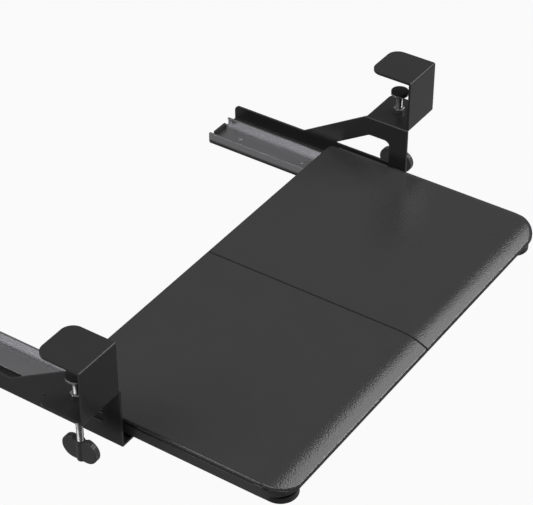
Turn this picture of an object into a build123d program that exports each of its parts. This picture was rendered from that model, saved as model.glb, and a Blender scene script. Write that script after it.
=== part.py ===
from build123d import *
import math
import os

# Keyboard tray that hangs under a desk from two screw clamps, with the tray pulled out.
# Millimetres, +Z up. X runs along the desk's front edge, Y goes back under the desk.
# The origin is on the desk's top front edge, midway between the clamps.
# Pieces that come in pairs are built on the right, at +X, and mirrored for the left.

# Desk top that the clamps hold
desk_thickness = 32.0

# Bracket: one bent steel sheet with a hook, a front plate, a shelf, a side plate and a flange
sheet = 3.0
outer_bend = 2.2
inner_bend = 0.6
clamp_width = 59.5
tray_side_gap = 10.25
hook_depth = 59.5
hook_corner = 15.0
front_height = 70.0
shelf_corner = 8.0
side_height = 75.5
side_rear_margin = 1.4
side_corner = 6.0
slope_foot_y = 150.0
leg_width = 24.5
top_strip = 22.5
window_height = 31.0
window_top_corner = 8.0
window_corner = 3.0
flange_corner = 5.0

# Rubber sheet between the hook and the desk
hook_pad_thickness = 1.0
hook_pad_inset = 1.5

# Clamp screw, M8, with its weld nut on the shelf, and the cup and pad on its tip
screw_y = 28.5
screw_diameter = 8.0
thread_clearance = 0.05
shelf_hole_clearance = 0.5
screw_tip_diameter = 5.2
screw_tip_length = 3.0
screw_tip_chamfer = 0.5
nut_across_flats = 13.0
nut_height = 6.5
nut_chamfer = 0.6
cup_diameter = 22.0
cup_thickness = 3.2
cup_hub_diameter = 11.0
cup_hub_height = 1.8
cup_edge = 0.6
pad_thickness = 2.5
pad_edge = 0.5
tip_clearance = 0.05
turning_gap = 0.1

# Wing knob: a flat thumb piece with two round lobes and a waist, moulded round the screw
knob_drop = 69.35
lobe_radius = 14.4
lobe_spread = 8.6
waist_radius = 14.0
waist_depth = 3.2
waist_blend = 3.0
knob_thickness = 8.0
knob_edge = 1.1
hub_diameter = 10.6
hub_above = 1.0
hub_below = 0.8
hub_edge = 0.8
screw_end_cover = 4.0
grip_radius = 0.5
grip_count = 9
grip_step_angle = 10.8
grip_middle_angle = 30.0

# Tray: two moulded panels side by side, with a front edge that slopes and rounds down
tray_width = 561.8
tray_depth = 300.0
panel_thickness = 5.0
skin_thickness = 3.4
front_corner = 30.0
rear_corner = 10.0
slope_radius = 76.5
slope_angle = 28.0
lip_turn_angle = 90 - slope_angle
panel_edge = 0.8
groove_height = 2.0
groove_depth = 2.0
seam_x = 9.5
seam_gap = 0.6
rib_depth = 11.0
rib_thickness = 2.0
seam_wall = 3.0
rib_count_along = 5
rib_count_across = 3
rib_front_margin = 52.0
rib_rear_margin = 8.0
rib_side_margin = 4.0

# Ball-bearing slide, lying flat on the flange under each side of the tray
slide_thickness = 12.0
slide_front_y = 1.0
slide_travel = 153.0
slide_nose_gap = 4.0
outer_width = 45.0
outer_top_gap = 1.5
slide_sheet = 1.2
outer_lip = 1.8
inner_lip = 1.4
inner_lip_thickness = 1.0
stop_thickness = 4.0
stop_width = 24.0
stop_height = 6.5
stop_gap = 0.6
ball_diameter = 5.0
ball_side_gap = 0.4
ball_count = 6
ball_pitch = 15.0
ball_clearance = 0.15
cage_length = 92.0
cage_sheet = 0.6
cage_web_gap = 0.35
cage_top_gap = 0.65

# Side beam: moulded channel, open downwards, under each side of the tray, with a solid nose
beam_side_gap = 3.6
beam_flange_gap = 5.0
beam_wall = 2.5
beam_lip_gap = 0.3
beam_rear_inset = 2.5
beam_nose_length = 38.2
nose_lead = 1.0
nose_rebate_depth = 4.3
nose_rebate_height = 4.5
nose_rebate_margin = 19.5
beam_edge = 0.9
boss_diameter = 9.0
boss_height = 3.5
boss_front_margin = 22.0
boss_rear_margin = 28.0
boss_count = 3

# Foot under each front corner, round in front and square behind, where it stops the tray
foot_diameter = 40.4
foot_tail = 19.6
foot_corner = 3.0
foot_stop_gap = 0.6
foot_thickness = 8.2
foot_height = 10.3
foot_edge = 0.8
foot_neck_diameter = 22.0
foot_recess_diameter = 12.0
foot_recess_depth = 2.6

# Small fasteners
tray_screw_diameter = 3.5
tray_screw_head = 7.0
tray_screw_head_height = 1.8
tray_screw_head_edge = 0.5
tray_screw_reach = 3.6
screw_hole_clearance = 0.05
foot_screw_head_height = 2.0
beam_screw_inset = 8.6
beam_screw_front_margin = 59.5
beam_screw_rear_margin = 24.5
beam_screw_count = 4
rivet_diameter = 5.0
rivet_head = 9.0
rivet_head_height = 2.0
rivet_head_angle = 25.0
rivet_margin = 29.0
rivet_count = 3

# Joining plates and dowels across the seam between the panels
joining_length = 110.0
joining_width = 40.0
joining_thickness = 2.0
joining_corner = 6.0
joining_front_margin = 94.5
joining_rear_margin = 45.5
joining_screw_spread = 40.0
joining_screw_pitch = 24.0
joining_boss = 8.0
dowel_diameter = 5.0
dowel_length = 26.0
dowel_boss = 10.0
dowel_boss_length = 15.0
dowel_drop = 5.5
dowel_front_margin = 74.5
dowel_rear_margin = 25.5
dowel_count = 3

# One overrun serves every cut that has to pass right through
overrun = 1.0

# Widths and places across. The slides fit in the beams, and the brackets stand outside them.
tray_side = tray_width / 2
beam_width = outer_width + 2 * beam_side_gap + 2 * beam_wall
beam_inner = tray_side - beam_width
beam_screw_spread = beam_width / 2 - beam_screw_inset
slide_x = tray_side - beam_width / 2
flange_inner = slide_x - outer_width / 2 - slide_sheet
side_inner = tray_side + tray_side_gap
clamp_inner = side_inner + sheet
clamp_x = clamp_inner + clamp_width / 2
ball_lane = ball_diameter + 2 * ball_side_gap
inner_width = outer_width - 2 * slide_sheet - 2 * ball_lane
ball_spread = inner_width / 2 + ball_lane / 2

# Levels, from the desk down to the flange and from the flange up to the tray
hook_bottom = hook_pad_thickness
hook_top = hook_bottom + sheet
shelf_bottom = hook_top - front_height
shelf_top = shelf_bottom + sheet
side_bottom = shelf_bottom - side_height
flange_top = side_bottom + sheet
outer_web_top = flange_top + slide_sheet
slide_top = flange_top + slide_thickness
ball_z = flange_top + slide_thickness / 2
outer_height = slide_thickness - outer_top_gap
inner_lift = cage_sheet + 2 * cage_web_gap
inner_drop = slide_thickness - slide_sheet - inner_lift
cage_bottom = outer_web_top + cage_web_gap
cage_rise = slide_thickness - 2 * slide_sheet - cage_web_gap - cage_top_gap
beam_bottom = flange_top + beam_flange_gap
beam_web_bottom = slide_top + boss_height
panel_bottom = beam_web_bottom + beam_wall
beam_height = panel_bottom - beam_bottom
tray_top_z = panel_bottom + panel_thickness
rib_bottom = panel_bottom - rib_depth
foot_bottom_z = beam_bottom - foot_height
knob_z = shelf_bottom - knob_drop
knob_hub_bottom = knob_z - lobe_radius - hub_below
knob_hub_top = knob_z + lobe_radius - waist_depth + hub_above

# Places from front to back. The tray's front follows from how far the slides carry it out.
front_face_y = -sheet
hook_rear_y = front_face_y + hook_depth
inner_front_y = slide_front_y - slide_travel
hollow_front_y = inner_front_y - slide_nose_gap
beam_front_y = hollow_front_y - beam_nose_length
lip_rear_y = beam_front_y - beam_lip_gap
tray_front_y = lip_rear_y - panel_thickness
tray_rear_y = tray_front_y + tray_depth
beam_rear_y = tray_rear_y - beam_rear_inset
slide_length = beam_rear_y - inner_front_y
slide_rear_y = slide_front_y + slide_length
side_rear_y = slide_rear_y + stop_gap + stop_thickness + side_rear_margin
foot_rear_y = front_face_y - foot_stop_gap - slide_travel
foot_y = foot_rear_y - foot_tail

# The front slope's arc, seen from the side
under_radius = slope_radius - panel_thickness
slope_start_y = lip_rear_y + under_radius * math.sin(math.radians(slope_angle))

# Rows of screws, rivets and dowels, each between a front and a rear margin
rivet_front_y = slide_front_y + rivet_margin
rivet_pitch = (slide_length - 2 * rivet_margin) / (rivet_count - 1)
boss_front_y = inner_front_y + boss_front_margin
boss_pitch = (slide_length - boss_front_margin - boss_rear_margin) / (boss_count - 1)
beam_screw_front_y = tray_front_y + beam_screw_front_margin
beam_screw_run = tray_depth - beam_screw_front_margin - beam_screw_rear_margin
beam_screw_pitch = beam_screw_run / (beam_screw_count - 1)
joining_front_y = tray_front_y + joining_front_margin
joining_rear_y = tray_rear_y - joining_rear_margin
dowel_front_y = tray_front_y + dowel_front_margin
dowel_pitch = (tray_depth - dowel_front_margin - dowel_rear_margin) / (dowel_count - 1)

os.makedirs("parts", exist_ok=True)


def keep(piece, name):
    """Label one finished piece and write it."""
    piece.label = name
    export_step(piece, f"parts/{name}.step")


def keep_pair(piece, name):
    """Write a piece of the right side and its mirror image for the left side."""
    keep(piece, f"right_{name}")
    keep(mirror(piece, about=Plane.YZ), f"left_{name}")


# Bracket. The hook, front plate and shelf are one C-shaped fold, open to the back.
with BuildPart() as bracket:
    with BuildSketch(Plane.YZ.offset(clamp_inner)) as c_fold:
        with BuildLine():
            Polyline(
                (hook_rear_y, hook_top),
                (front_face_y, hook_top),
                (front_face_y, shelf_bottom),
                (hook_rear_y, shelf_bottom),
                (hook_rear_y, shelf_top),
                (0, shelf_top),
                (0, hook_bottom),
                (hook_rear_y, hook_bottom),
                close=True,
            )
        make_face()
        fillet(c_fold.vertices().group_by(Axis.X)[1], radius=inner_bend)
        fillet(c_fold.vertices().group_by(Axis.X)[0], radius=outer_bend)
    extrude(amount=clamp_width)
    rear_edges = bracket.edges().filter_by(Axis.Z).group_by(Axis.Y)[-1]
    fillet(rear_edges.group_by(Axis.Z)[-1], radius=hook_corner)
    rear_edges = bracket.edges().filter_by(Axis.Z).group_by(Axis.Z)[0]
    fillet(rear_edges.group_by(Axis.Y)[-1].sort_by(Axis.X)[-1], radius=shelf_corner)
    # The side plate turns down from the shelf's inner edge, and the flange in from its foot
    with BuildSketch(Plane.XZ.offset(-front_face_y)) as z_fold:
        with BuildLine():
            Polyline(
                (clamp_inner, shelf_top),
                (side_inner, shelf_top),
                (side_inner, flange_top),
                (flange_inner, flange_top),
                (flange_inner, side_bottom),
                (clamp_inner, side_bottom),
                close=True,
            )
        make_face()
        inside = z_fold.vertices().sort_by_distance((side_inner, flange_top, 0))[0]
        fillet(inside, radius=inner_bend)
        fillet(z_fold.vertices().group_by(Axis.Y)[-1].sort_by(Axis.X)[0], radius=outer_bend)
        fillet(z_fold.vertices().group_by(Axis.Y)[0].sort_by(Axis.X)[-1], radius=outer_bend)
    extrude(amount=front_face_y - side_rear_y)
    fillet(
        bracket.edges().filter_by(Axis.Z).group_by(Axis.X)[0],
        radius=flange_corner,
    )
    # Behind the clamp the side plate's top slopes down to a low strip
    window_top = shelf_bottom - top_strip
    window_bottom = window_top - window_height
    with BuildSketch(Plane.YZ.offset(side_inner - overrun)):
        with BuildLine():
            Polyline(
                (hook_rear_y, shelf_top),
                (slope_foot_y, window_bottom),
                (side_rear_y + overrun, window_bottom),
                (side_rear_y + overrun, shelf_top + overrun),
                (hook_rear_y, shelf_top + overrun),
                close=True,
            )
        make_face()
    extrude(amount=sheet + 2 * overrun, mode=Mode.SUBTRACT)
    fillet(
        bracket.edges().filter_by(Axis.X).group_by(Axis.Y)[-1].sort_by(Axis.Z)[-1],
        radius=side_corner,
    )
    # Window with an upright front leg and a back leg that follows the slope
    window_front_y = front_face_y + leg_width
    slope_run = slope_foot_y - hook_rear_y
    slope_fall = shelf_top - window_bottom
    back_leg = leg_width * math.hypot(slope_run, slope_fall) / slope_fall
    window_top_rear_y = slope_foot_y - back_leg - window_height * slope_run / slope_fall
    with BuildSketch(Plane.YZ.offset(side_inner - overrun)):
        with BuildLine():
            Polyline(
                (window_front_y, window_top),
                (window_top_rear_y, window_top),
                (slope_foot_y - back_leg, window_bottom),
                (window_front_y, window_bottom),
                close=True,
            )
        window = make_face()
        fillet(window.vertices().group_by(Axis.Y)[-1], radius=window_top_corner)
        fillet(window.vertices().group_by(Axis.Y)[0], radius=window_corner)
    extrude(amount=sheet + 2 * overrun, mode=Mode.SUBTRACT)
    with Locations((clamp_x, screw_y, shelf_top)):
        Hole(radius=screw_diameter / 2 + shelf_hole_clearance, depth=sheet + overrun)
    for number in range(rivet_count):
        with Locations((slide_x, rivet_front_y + number * rivet_pitch, flange_top)):
            Hole(radius=rivet_diameter / 2 + screw_hole_clearance, depth=sheet + overrun)
keep_pair(bracket.part, "bracket")

# Rubber sheet glued under the hook, where it rests on the desk
with BuildPart() as hook_pad:
    with BuildSketch(Plane.XY):
        with Locations((clamp_x, hook_rear_y / 2)):
            Rectangle(clamp_width - 2 * hook_pad_inset, hook_rear_y - 2 * hook_pad_inset)
    extrude(amount=hook_pad_thickness)
    fillet(
        hook_pad.edges().filter_by(Axis.Z).group_by(Axis.Y)[-1],
        radius=hook_corner - hook_pad_inset,
    )
keep_pair(hook_pad.part, "hook_pad")

# Weld nut on the shelf, round the screw
with BuildPart() as clamp_nut:
    with BuildSketch(Plane.XY.offset(shelf_top)):
        with Locations((clamp_x, screw_y)):
            RegularPolygon(radius=nut_across_flats / 2, side_count=6, major_radius=False)
            Circle(radius=screw_diameter / 2 + thread_clearance, mode=Mode.SUBTRACT)
    extrude(amount=nut_height)
    chamfer(clamp_nut.faces().sort_by(Axis.Z)[-1].outer_wire().edges(), length=nut_chamfer)
keep_pair(clamp_nut.part, "clamp_nut")

# Clamp screw: plain rod with a thinner tip that turns in the cup
pad_top = -desk_thickness
pad_bottom = pad_top - pad_thickness
cup_bottom = pad_bottom - cup_thickness
hub_face = cup_bottom - cup_hub_height
shoulder_z = hub_face - turning_gap
screw_bottom = knob_hub_bottom + screw_end_cover
with BuildPart() as clamp_screw:
    with BuildSketch(Plane.XY.offset(screw_bottom)):
        with Locations((clamp_x, screw_y)):
            Circle(radius=screw_diameter / 2)
    extrude(amount=shoulder_z - screw_bottom)
    with BuildSketch(Plane.XY.offset(shoulder_z)):
        with Locations((clamp_x, screw_y)):
            Circle(radius=screw_tip_diameter / 2)
    extrude(amount=screw_tip_length)
    chamfer(clamp_screw.faces().sort_by(Axis.Z)[-1].edges(), length=screw_tip_chamfer)
keep_pair(clamp_screw.part, "clamp_screw")

# Steel cup on the screw's tip, with a short hub round the tip
with BuildPart() as pressure_cup:
    with BuildSketch(Plane.XY.offset(cup_bottom)):
        with Locations((clamp_x, screw_y)):
            Circle(radius=cup_diameter / 2)
    extrude(amount=cup_thickness)
    chamfer(pressure_cup.faces().sort_by(Axis.Z)[0].edges(), length=cup_edge)
    with BuildSketch(Plane.XY.offset(hub_face)):
        with Locations((clamp_x, screw_y)):
            Circle(radius=cup_hub_diameter / 2)
    extrude(amount=cup_hub_height)
    with BuildSketch(Plane.XY.offset(hub_face)):
        with Locations((clamp_x, screw_y)):
            Circle(radius=screw_tip_diameter / 2 + tip_clearance)
    extrude(amount=screw_tip_length, mode=Mode.SUBTRACT)
keep_pair(pressure_cup.part, "pressure_cup")

# Rubber face on the cup, which presses on the desk's underside
with BuildPart() as pressure_pad:
    with BuildSketch(Plane.XY.offset(pad_bottom)):
        with Locations((clamp_x, screw_y)):
            Circle(radius=cup_diameter / 2)
    extrude(amount=pad_thickness)
    fillet(pressure_pad.faces().sort_by(Axis.Z)[-1].edges(), radius=pad_edge)
keep_pair(pressure_pad.part, "pressure_pad")

# Wing knob: two lobes in a plate across the desk's edge, with a waist on top between them,
# a low round hub, and grip grooves
with BuildPart() as wing_knob:
    with BuildSketch(Plane.YZ.offset(clamp_x - knob_thickness / 2)) as wing:
        with Locations((screw_y - lobe_spread, knob_z), (screw_y + lobe_spread, knob_z)):
            Circle(radius=lobe_radius)
        make_hull()
        with Locations((screw_y, knob_z + lobe_radius - waist_depth + waist_radius)):
            Circle(radius=waist_radius, mode=Mode.SUBTRACT)
        fillet(wing.vertices().group_by(Axis.Y)[-1], radius=waist_blend)
    extrude(amount=knob_thickness)
    fillet(wing_knob.faces().filter_by(Axis.X).edges(), radius=knob_edge)
    with BuildSketch(Plane.XZ.offset(-screw_y)) as hub:
        with Locations((clamp_x, knob_hub_bottom)):
            Rectangle(
                hub_diameter / 2, knob_hub_top - knob_hub_bottom, align=(Align.MIN, Align.MIN)
            )
        fillet(hub.vertices().group_by(Axis.X)[-1], radius=hub_edge)
    revolve(axis=Axis((clamp_x, screw_y, 0), (0, 0, 1)))
    with BuildSketch(Plane.YZ.offset(clamp_x - knob_thickness)):
        for side in (-1, 1):
            for number in range(grip_count):
                turn = math.radians(
                    grip_middle_angle + (number - (grip_count - 1) / 2) * grip_step_angle
                )
                groove_y = screw_y + side * (lobe_spread + lobe_radius * math.cos(turn))
                groove_z = knob_z + lobe_radius * math.sin(turn)
                with Locations((groove_y, groove_z)):
                    Circle(radius=grip_radius)
    extrude(amount=2 * knob_thickness, mode=Mode.SUBTRACT)
    with BuildSketch(Plane.XY.offset(screw_bottom)):
        with Locations((clamp_x, screw_y)):
            Circle(radius=screw_diameter / 2 + thread_clearance)
    extrude(amount=knob_hub_top - screw_bottom, mode=Mode.SUBTRACT)
keep_pair(wing_knob.part, "wing_knob")

# Outer slide member: channel riveted to the flange, open upwards, with lips turned in
with BuildPart() as slide_outer:
    half_outer = outer_width / 2
    outer_top = flange_top + outer_height
    with BuildSketch(Plane.XZ.offset(-slide_front_y)):
        with Locations((slide_x, flange_top)):
            Rectangle(outer_width, outer_height, align=(Align.CENTER, Align.MIN))
        with Locations((slide_x, outer_web_top)):
            Rectangle(
                outer_width - 2 * slide_sheet,
                outer_height - 2 * slide_sheet,
                align=(Align.CENTER, Align.MIN),
                mode=Mode.SUBTRACT,
            )
            Rectangle(
                outer_width - 2 * slide_sheet - 2 * outer_lip,
                outer_height,
                align=(Align.CENTER, Align.MIN),
                mode=Mode.SUBTRACT,
            )
    extrude(amount=-(slide_length + stop_gap + stop_thickness))
    for number in range(rivet_count):
        with Locations((slide_x, rivet_front_y + number * rivet_pitch, outer_web_top)):
            Hole(radius=rivet_diameter / 2 + screw_hole_clearance, depth=slide_sheet + overrun)
keep_pair(slide_outer.part, "slide_outer")

# Rivets that hold the outer member: domed head under the flange, shank flush with the web
with BuildPart() as slide_rivets:
    for number in range(rivet_count):
        rivet_y = rivet_front_y + number * rivet_pitch
        with BuildSketch(Plane.XY.offset(side_bottom)):
            with Locations((slide_x, rivet_y)):
                Circle(radius=rivet_diameter / 2)
        extrude(amount=outer_web_top - side_bottom)
        with BuildSketch(Plane.XY.offset(side_bottom)):
            with Locations((slide_x, rivet_y)):
                Circle(radius=rivet_head / 2)
        extrude(amount=-rivet_head_height, taper=rivet_head_angle)
keep_pair(slide_rivets.part, "slide_rivets")

# Rubber block at the back of the outer member, where the inner member ends its travel
with BuildPart() as slide_stop:
    with BuildSketch(Plane.XZ.offset(-(slide_rear_y + stop_gap))):
        with Locations((slide_x, outer_web_top)):
            Rectangle(stop_width, stop_height, align=(Align.CENTER, Align.MIN))
    extrude(amount=-stop_thickness)
keep_pair(slide_stop.part, "slide_stop")

# Inner slide member: channel screwed under the beam, open downwards, with lips turned out
with BuildPart() as slide_inner:
    with BuildSketch(Plane.XZ.offset(-inner_front_y)):
        with Locations((slide_x, slide_top)):
            Rectangle(inner_width, inner_drop, align=(Align.CENTER, Align.MAX))
        with Locations((slide_x, slide_top - inner_drop)):
            Rectangle(
                inner_width + 2 * inner_lip,
                inner_lip_thickness,
                align=(Align.CENTER, Align.MIN),
            )
            Rectangle(
                inner_width - 2 * slide_sheet,
                inner_drop - slide_sheet,
                align=(Align.CENTER, Align.MIN),
                mode=Mode.SUBTRACT,
            )
    extrude(amount=-slide_length)
    for number in range(boss_count):
        with Locations((slide_x, boss_front_y + number * boss_pitch, slide_top)):
            Hole(
                radius=tray_screw_diameter / 2 + screw_hole_clearance,
                depth=slide_sheet + overrun,
            )
keep_pair(slide_inner.part, "slide_inner")

# Ball cage: thin channel between the two members, which travels half as far as the tray
cage_front_y = slide_front_y + (slide_length - slide_travel - cage_length) / 2
cage_middle_y = cage_front_y + cage_length / 2
first_ball_y = cage_middle_y - (ball_count - 1) * ball_pitch / 2
with BuildPart() as slide_cage:
    with BuildSketch(Plane.XZ.offset(-cage_front_y)):
        with Locations((slide_x, cage_bottom)):
            Rectangle(
                2 * ball_spread + cage_sheet, cage_rise, align=(Align.CENTER, Align.MIN)
            )
        with Locations((slide_x, cage_bottom + cage_sheet)):
            Rectangle(
                2 * ball_spread - cage_sheet,
                cage_rise,
                align=(Align.CENTER, Align.MIN),
                mode=Mode.SUBTRACT,
            )
    extrude(amount=-cage_length)
    with BuildSketch(Plane.YZ.offset(slide_x - outer_width)):
        for number in range(ball_count):
            with Locations((first_ball_y + number * ball_pitch, ball_z)):
                Circle(radius=ball_diameter / 2 + ball_clearance)
    extrude(amount=2 * outer_width, mode=Mode.SUBTRACT)
keep_pair(slide_cage.part, "slide_cage")

# Steel balls in the cage's holes, a row on each side
with BuildPart() as slide_balls:
    for side in (-1, 1):
        for number in range(ball_count):
            ball_x = slide_x + side * ball_spread
            with Locations((ball_x, first_ball_y + number * ball_pitch, ball_z)):
                Sphere(radius=ball_diameter / 2)
keep_pair(slide_balls.part, "slide_balls")


def panel_profile():
    """Side outline of a panel: flat, then an arc down to a rounded lip at the front."""
    with BuildLine() as outline:
        top = Line((tray_rear_y, tray_top_z), (slope_start_y, tray_top_z))
        upper = JernArc(
            start=top @ 1, tangent=(-1, 0), radius=slope_radius, arc_size=slope_angle
        )
        nose = JernArc(
            start=upper @ 1,
            tangent=upper % 1,
            radius=panel_thickness,
            arc_size=lip_turn_angle,
        )
        under = JernArc(
            start=(slope_start_y, panel_bottom),
            tangent=(-1, 0),
            radius=under_radius,
            arc_size=slope_angle,
        )
        Line(nose @ 1, under @ 1)
        Polyline(under @ 0, (tray_rear_y, panel_bottom), top @ 0)
    return outline.line


def seam_boss_places(side):
    """Centres of the joining-screw bosses on one side of the seam."""
    places = []
    for plate_y in (joining_front_y, joining_rear_y):
        for step in (-1, 1):
            places.append(
                (seam_x + side * joining_screw_spread, plate_y + step * joining_screw_pitch / 2)
            )
    return places


def make_panel(side):
    """One moulded half of the tray top. side is 1 for the right half and -1 for the left."""
    inner = seam_x + side * seam_gap / 2
    outer = side * tray_side
    low_x, high_x = min(inner, outer), max(inner, outer)
    rib_front_y = tray_front_y + rib_front_margin
    rib_rear_y = tray_rear_y - rib_rear_margin
    rib_outer = side * (beam_inner - rib_side_margin)
    rib_low, rib_high = min(inner, rib_outer), max(inner, rib_outer)
    with BuildPart() as panel:
        with BuildSketch(Plane.YZ.offset(low_x)):
            with BuildLine():
                add(panel_profile())
            make_face()
        extrude(amount=high_x - low_x)
        # Rounded rear corner, then rounded top edges, all but the line where the slope begins
        rear_edges = panel.edges().filter_by(Axis.Z).group_by(Axis.Y)[-1].sort_by(Axis.X)
        fillet(rear_edges[-1 if side > 0 else 0], radius=rear_corner)
        flat_top = panel.faces().filter_by(Axis.Z).sort_by(Axis.Z)[-1]
        fillet(flat_top.edges().sort_by(Axis.Y)[1:], radius=panel_edge)
        # Large radius in plan at the outer front corner
        with BuildSketch(Plane.XY.offset(tray_top_z - slope_radius)) as plan:
            with Locations(((low_x + high_x) / 2, (tray_front_y + tray_rear_y) / 2)):
                Rectangle(high_x - low_x, tray_depth)
            front_points = plan.vertices().group_by(Axis.Y)[0].sort_by(Axis.X)
            fillet(front_points[-1 if side > 0 else 0], radius=front_corner)
        extrude(amount=2 * slope_radius, mode=Mode.INTERSECT)
        # Straight groove along the side, which leaves a thin edge above the beam and runs out
        # where the corner turns in
        with BuildSketch(Plane.XY.offset(panel_bottom)):
            with Locations((outer, (tray_front_y + tray_rear_y) / 2)):
                Rectangle(2 * groove_depth, tray_depth)
        extrude(amount=groove_height, mode=Mode.SUBTRACT)
        # Shallow pocket under the skin between the beam and the seam, crossed by ribs
        with BuildSketch(Plane.XY.offset(panel_bottom)):
            with Locations(((rib_low + rib_high) / 2, (rib_front_y + rib_rear_y) / 2)):
                Rectangle(rib_high - rib_low, rib_rear_y - rib_front_y)
        extrude(amount=panel_thickness - skin_thickness, mode=Mode.SUBTRACT)
        with BuildSketch(Plane.XY.offset(rib_bottom)):
            with Locations(((rib_low + rib_high) / 2, (rib_front_y + rib_rear_y) / 2)):
                with GridLocations(
                    (rib_high - rib_low - rib_thickness) / (rib_count_along - 1),
                    0,
                    rib_count_along,
                    1,
                ):
                    Rectangle(rib_thickness, rib_rear_y - rib_front_y)
                with GridLocations(
                    0,
                    (rib_rear_y - rib_front_y - rib_thickness) / (rib_count_across - 1),
                    1,
                    rib_count_across,
                ):
                    Rectangle(rib_high - rib_low, rib_thickness)
            with Locations((inner + side * seam_wall / 2, (rib_front_y + rib_rear_y) / 2)):
                Rectangle(seam_wall, rib_rear_y - rib_front_y)
            for number in range(dowel_count):
                boss_x = inner + side * dowel_boss_length / 2
                with Locations((boss_x, dowel_front_y + number * dowel_pitch)):
                    Rectangle(dowel_boss_length, dowel_boss)
            with Locations(*seam_boss_places(side)):
                Circle(radius=joining_boss / 2)
        extrude(amount=rib_depth + panel_thickness - skin_thickness)
        # Holes for the joining screws, the beam screws and the dowels
        with BuildSketch(Plane.XY.offset(rib_bottom)):
            with Locations(*seam_boss_places(side)):
                Circle(radius=tray_screw_diameter / 2 + screw_hole_clearance)
        extrude(amount=tray_screw_reach + rib_depth, mode=Mode.SUBTRACT)
        with BuildSketch(Plane.XY.offset(panel_bottom)):
            for place in beam_screw_places(side):
                with Locations(place):
                    Circle(radius=tray_screw_diameter / 2 + screw_hole_clearance)
        extrude(amount=tray_screw_reach, mode=Mode.SUBTRACT)
        with BuildSketch(Plane.YZ.offset(seam_x)):
            for number in range(dowel_count):
                with Locations((dowel_front_y + number * dowel_pitch, panel_bottom - dowel_drop)):
                    Circle(radius=dowel_diameter / 2 + screw_hole_clearance)
        extrude(amount=side * (dowel_length / 2 + turning_gap), mode=Mode.SUBTRACT)
    return panel.part


def beam_screw_places(side):
    """Centres of the screws that hold a beam to its panel, alternately out and in."""
    places = []
    for number in range(beam_screw_count):
        offset = beam_screw_spread if number % 2 == 0 else -beam_screw_spread
        places.append(
            (side * (slide_x + offset), beam_screw_front_y + number * beam_screw_pitch)
        )
    return places


for side, side_name in ((-1, "left"), (1, "right")):
    keep(make_panel(side), f"{side_name}_panel")

# Side beam: channel with a solid nose that follows the panel's corner and slope
with BuildPart() as side_beam:
    with BuildSketch(Plane.XY.offset(beam_bottom)) as beam_plan:
        with Locations((tray_side, tray_front_y)):
            Rectangle(tray_side, tray_depth, align=(Align.MAX, Align.MIN))
        fillet(
            beam_plan.vertices().group_by(Axis.X)[-1].sort_by(Axis.Y)[0], radius=front_corner
        )
        with Locations(((beam_inner + tray_side) / 2, (beam_front_y + beam_rear_y) / 2)):
            Rectangle(beam_width, beam_rear_y - beam_front_y, mode=Mode.INTERSECT)
    extrude(amount=beam_height)
    fillet(side_beam.faces().sort_by(Axis.Z)[-1].edges(), radius=beam_edge)
    # The nose's top is cut away to lie under the panel's slope
    with BuildSketch(Plane.YZ.offset(beam_inner - overrun)):
        with BuildLine():
            under = JernArc(
                start=(slope_start_y + nose_lead, panel_bottom),
                tangent=(-1, 0),
                radius=under_radius,
                arc_size=slope_angle,
            )
            Polyline(
                under @ 1,
                (tray_front_y, (under @ 1).Y),
                (tray_front_y, panel_bottom + overrun),
                (slope_start_y + nose_lead, panel_bottom + overrun),
                under @ 0,
            )
        make_face()
    extrude(amount=beam_width + 2 * overrun, mode=Mode.SUBTRACT)
    # Rebate round the foot of the nose's outer corner
    with BuildSketch(Plane.XY.offset(beam_bottom)):
        with Locations((tray_side, tray_front_y)):
            Rectangle(front_corner, nose_rebate_margin, align=(Align.MAX, Align.MIN))
        with Locations((tray_side - front_corner, tray_front_y + front_corner)):
            Circle(radius=front_corner - nose_rebate_depth, mode=Mode.SUBTRACT)
    extrude(amount=nose_rebate_height, mode=Mode.SUBTRACT)
    # Hollow of the channel, behind the nose
    with BuildSketch(Plane.XY.offset(beam_bottom)):
        with Locations(((beam_inner + tray_side) / 2, hollow_front_y)):
            Rectangle(
                beam_width - 2 * beam_wall,
                beam_rear_y - hollow_front_y + overrun,
                align=(Align.CENTER, Align.MIN),
            )
    extrude(amount=beam_height - beam_wall, mode=Mode.SUBTRACT)
    # Bosses that the inner slide member is screwed to
    with BuildSketch(Plane.XY.offset(slide_top)):
        for number in range(boss_count):
            with Locations((slide_x, boss_front_y + number * boss_pitch)):
                Circle(radius=boss_diameter / 2)
    extrude(amount=beam_web_bottom - slide_top)
    with BuildSketch(Plane.XY.offset(slide_top)):
        for number in range(boss_count):
            with Locations((slide_x, boss_front_y + number * boss_pitch)):
                Circle(radius=tray_screw_diameter / 2 + screw_hole_clearance)
    extrude(amount=tray_screw_reach, mode=Mode.SUBTRACT)
    with BuildSketch(Plane.XY.offset(beam_web_bottom)):
        for place in beam_screw_places(1):
            with Locations(place):
                Circle(radius=tray_screw_diameter / 2 + screw_hole_clearance)
    extrude(amount=beam_wall, mode=Mode.SUBTRACT)
    with BuildSketch(Plane.XY.offset(beam_bottom)):
        with Locations((slide_x, foot_y)):
            Circle(radius=tray_screw_diameter / 2 + screw_hole_clearance)
    extrude(amount=tray_screw_reach, mode=Mode.SUBTRACT)
keep_pair(side_beam.part, "side_beam")


def screw_group(places, head_z, head_height, reach):
    """Pan-head screws that point up: heads hang under head_z, shanks reach above it."""
    with BuildPart() as screws:
        with BuildSketch(Plane.XY.offset(head_z)):
            with Locations(*places):
                Circle(radius=tray_screw_head / 2)
        extrude(amount=-head_height)
        fillet(screws.edges().group_by(Axis.Z)[0], radius=tray_screw_head_edge)
        with BuildSketch(Plane.XY.offset(head_z)):
            with Locations(*places):
                Circle(radius=tray_screw_diameter / 2)
        extrude(amount=reach)
    return screws.part


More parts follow.
